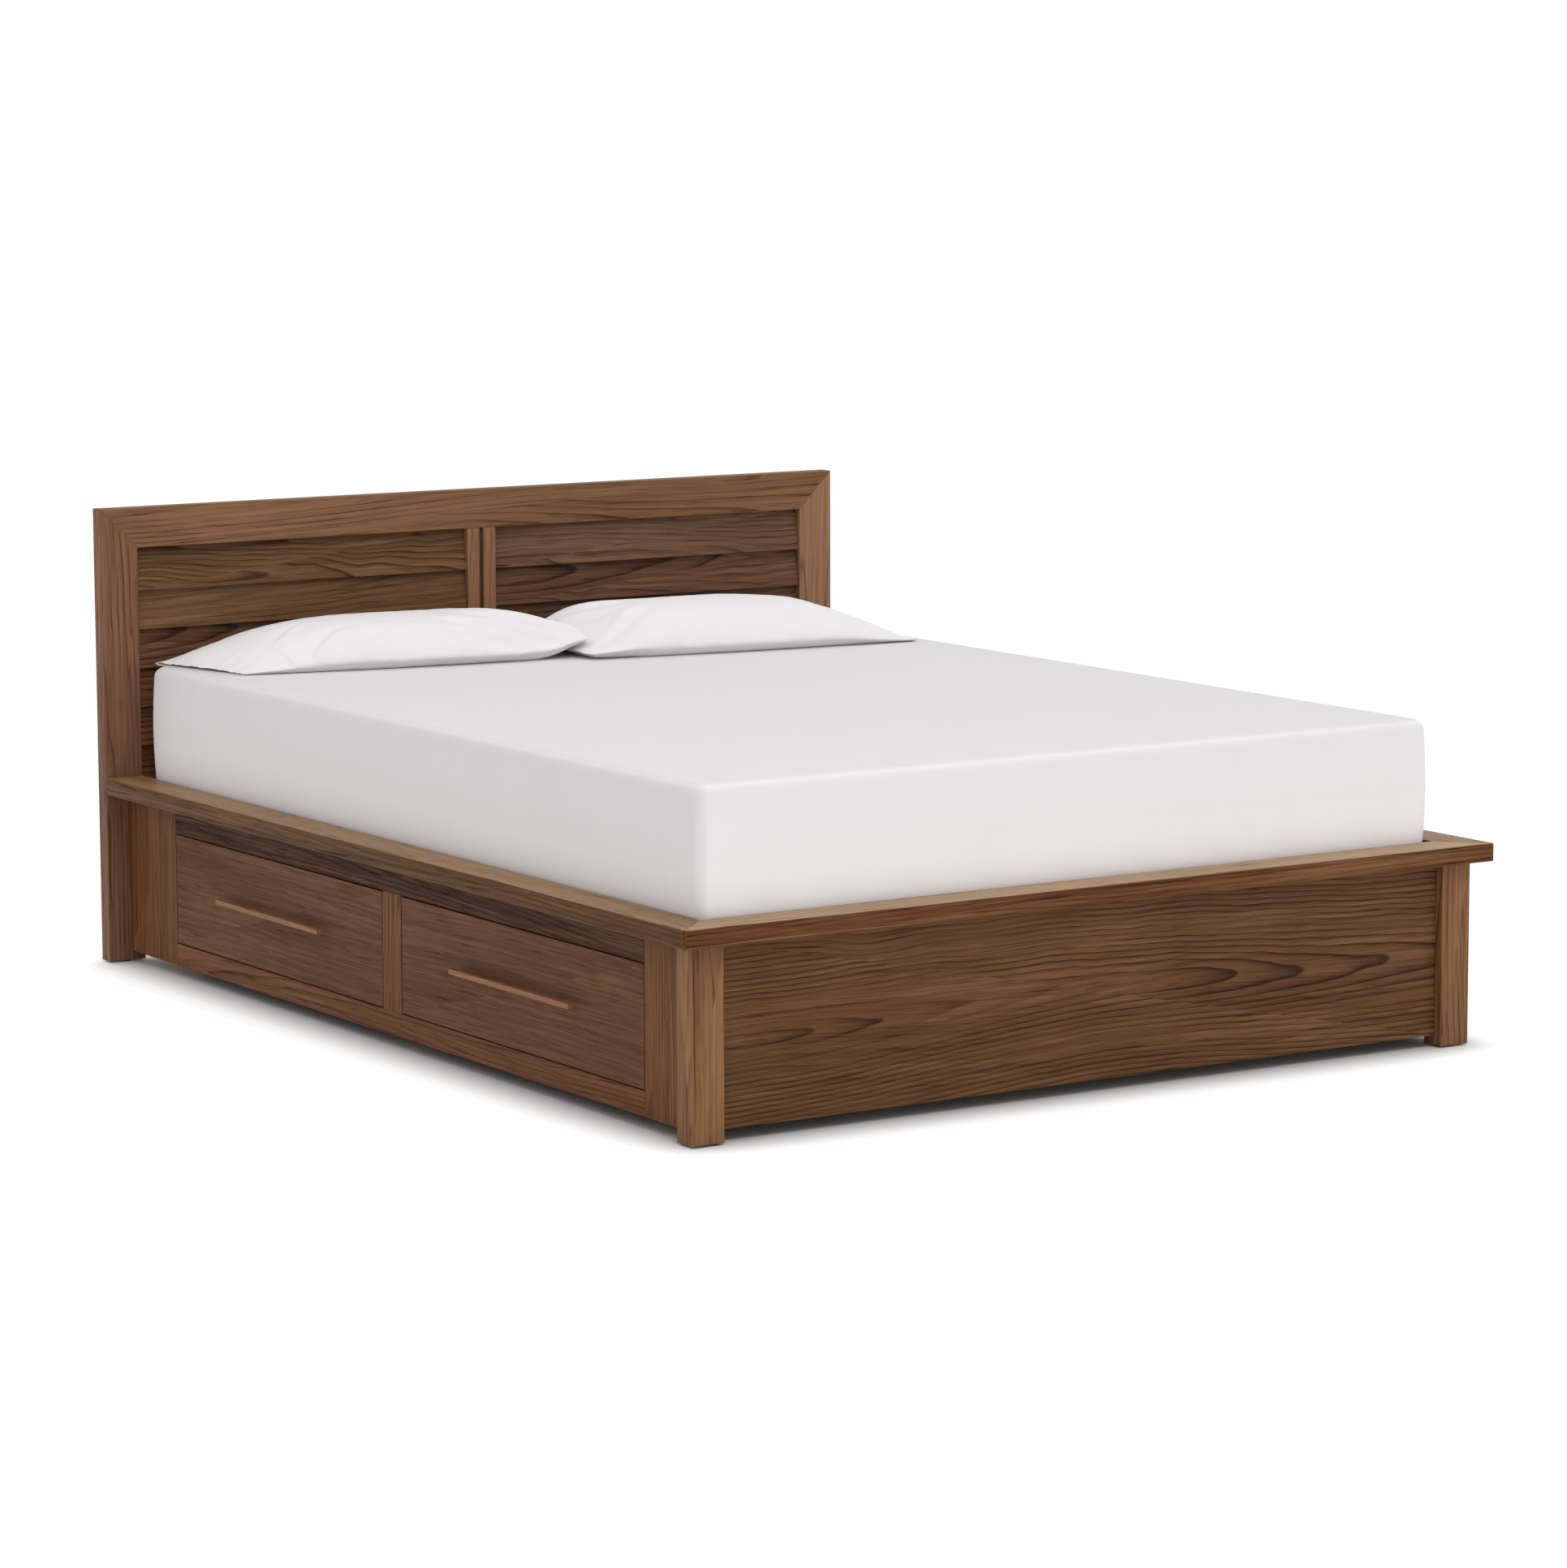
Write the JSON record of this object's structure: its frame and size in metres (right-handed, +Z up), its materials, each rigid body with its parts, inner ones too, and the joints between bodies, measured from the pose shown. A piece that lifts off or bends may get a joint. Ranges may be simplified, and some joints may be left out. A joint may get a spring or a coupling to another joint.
{
  "type": "platform bed with storage drawers",
  "caption": "Walnut platform bed with drawers along both sides, a framed clapboard headboard, an overhanging mitred platform edge, and a sheeted mattress with pillows.",
  "frame": {"origin": "on the floor, at the centre of the bed's footprint", "axes": "+Z up, +Y from the foot end towards the headboard, -X the left side seen from the foot"},
  "size_m": [1.686, 2.186, 0.89],
  "materials": {
    "walnut": "satin oiled walnut with dark pores, eased edges",
    "walnut_board": "satin oiled walnut, each board of its own tone",
    "maple": "clear-finished maple",
    "birch_ply": "clear-finished birch plywood",
    "zinc_steel": "bright zinc plate",
    "black_nylon": "fine matte",
    "sheet_cotton": "white cotton sateen fitted sheet, faint sheen",
    "pillow_cotton": "white cotton percale pillowcase with a hemstitched flange"
  },
  "bodies": {
    "root": {"headboard_post_left": "walnut", "headboard_post_right": "walnut", "headboard_top_rail": "walnut", "headboard_lower_rail": "walnut", "headboard_centre_stiles": "walnut", "headboard_centre_spline": "walnut_board", "headboard_boards_left": "walnut_board", "headboard_boards_right": "walnut_board", "headboard_back_panel": "walnut", "platform_rail_left": "walnut", "platform_rail_right": "walnut", "platform_rail_foot": "walnut", "platform_rail_head": "walnut", "foot_panel": "walnut", "foot_leg_left": "walnut", "foot_leg_right": "walnut", "side_stiles_left": "walnut", "side_stiles_right": "walnut", "side_rails_left": "walnut", "side_rails_right": "walnut", "case_partitions": "birch_ply", "centre_beam": "maple", "centre_feet": "black_nylon", "slat_cleats": "maple", "deck_slats": "maple", "corner_blocks": "maple", "bed_bolts": "zinc_steel", "glides": "black_nylon", "slide_outer_members": "zinc_steel", "mattress": "sheet_cotton", "pillow_left": "pillow_cotton", "pillow_right": "pillow_cotton"},
    "drawer_left_head": {"drawer_front_left_head": "walnut", "drawer_sides_left_head": "maple", "drawer_ends_left_head": "maple", "drawer_bottom_left_head": "birch_ply", "drawer_pull_left_head": "walnut", "slide_inner_members_left_head": "zinc_steel"},
    "slide_left_head": {"slide_middle_members_left_head": "zinc_steel"},
    "drawer_left_foot": {"drawer_front_left_foot": "walnut", "drawer_sides_left_foot": "maple", "drawer_ends_left_foot": "maple", "drawer_bottom_left_foot": "birch_ply", "drawer_pull_left_foot": "walnut", "slide_inner_members_left_foot": "zinc_steel"},
    "slide_left_foot": {"slide_middle_members_left_foot": "zinc_steel"},
    "drawer_right_head": {"drawer_front_right_head": "walnut", "drawer_sides_right_head": "maple", "drawer_ends_right_head": "maple", "drawer_bottom_right_head": "birch_ply", "drawer_pull_right_head": "walnut", "slide_inner_members_right_head": "zinc_steel"},
    "slide_right_head": {"slide_middle_members_right_head": "zinc_steel"},
    "drawer_right_foot": {"drawer_front_right_foot": "walnut", "drawer_sides_right_foot": "maple", "drawer_ends_right_foot": "maple", "drawer_bottom_right_foot": "birch_ply", "drawer_pull_right_foot": "walnut", "slide_inner_members_right_foot": "zinc_steel"},
    "slide_right_foot": {"slide_middle_members_right_foot": "zinc_steel"}
  },
  "joints": [
    {"name": "drawer_left_head_slide", "type": "slide", "parent": "root", "child": "drawer_left_head", "axis": [-1, 0, 0], "range_m": [0, 0.58]},
    {"name": "slide_left_head_middle", "type": "slide", "parent": "root", "child": "slide_left_head", "axis": [-1, 0, 0], "range_m": [0, 0.29]},
    {"name": "drawer_left_foot_slide", "type": "slide", "parent": "root", "child": "drawer_left_foot", "axis": [-1, 0, 0], "range_m": [0, 0.58]},
    {"name": "slide_left_foot_middle", "type": "slide", "parent": "root", "child": "slide_left_foot", "axis": [-1, 0, 0], "range_m": [0, 0.29]},
    {"name": "drawer_right_head_slide", "type": "slide", "parent": "root", "child": "drawer_right_head", "axis": [1, 0, 0], "range_m": [0, 0.58]},
    {"name": "slide_right_head_middle", "type": "slide", "parent": "root", "child": "slide_right_head", "axis": [1, 0, 0], "range_m": [0, 0.29]},
    {"name": "drawer_right_foot_slide", "type": "slide", "parent": "root", "child": "drawer_right_foot", "axis": [1, 0, 0], "range_m": [0, 0.58]},
    {"name": "slide_right_foot_middle", "type": "slide", "parent": "root", "child": "slide_right_foot", "axis": [1, 0, 0], "range_m": [0, 0.29]}
  ],
  "couplings": [
    {"joint": "slide_left_head_middle", "follows": "drawer_left_head_slide", "ratio": 0.5},
    {"joint": "slide_left_foot_middle", "follows": "drawer_left_foot_slide", "ratio": 0.5},
    {"joint": "slide_right_head_middle", "follows": "drawer_right_head_slide", "ratio": 0.5},
    {"joint": "slide_right_foot_middle", "follows": "drawer_right_foot_slide", "ratio": 0.5}
  ]
}
